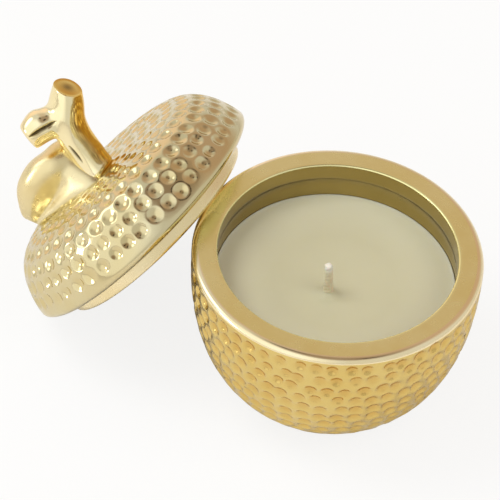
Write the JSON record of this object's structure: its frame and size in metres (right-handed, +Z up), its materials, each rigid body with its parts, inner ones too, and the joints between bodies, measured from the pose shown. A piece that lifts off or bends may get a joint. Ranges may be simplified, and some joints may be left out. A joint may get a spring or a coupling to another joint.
{
  "type": "lidded candle jar",
  "caption": "Fruit-shaped ceramic candle jar with poured wax and a wick, its domed lid with a twig knob and leaf leaning on the rim.",
  "frame": {"origin": "centre of the pot's flat foot, on the surface the jar stands on", "axes": "+Z up along the pot's axis; the lid leans on the rim on the -X side; the viewer of the picture is towards -Y"},
  "size_m": [0.1693, 0.1322, 0.0866],
  "materials": {
    "satin_gold": "satin gold plating on glazed ceramic",
    "mirror_gold": "bright pale gold plating on glazed ceramic",
    "wax": "smooth ivory wax, slightly translucent",
    "cotton": "waxed braided cotton",
    "tinplate": "thin pressed tinplate",
    "glue": "set hot-melt glue"
  },
  "bodies": {
    "jar": {"pot": "satin_gold", "wax_fill": "wax", "wick": "cotton", "wick_sustainer": "tinplate", "wick_adhesive": "glue"},
    "lid": {"lid_dome": "mirror_gold", "lid_locating_ring": "satin_gold", "stem_twig": "mirror_gold", "leaf": "mirror_gold"}
  },
  "joints": [
    {"name": "lid_lift", "type": "slide", "parent": "jar", "child": "lid", "axis": [0, 0, 1], "range_m": [0, 0.11]}
  ]
}
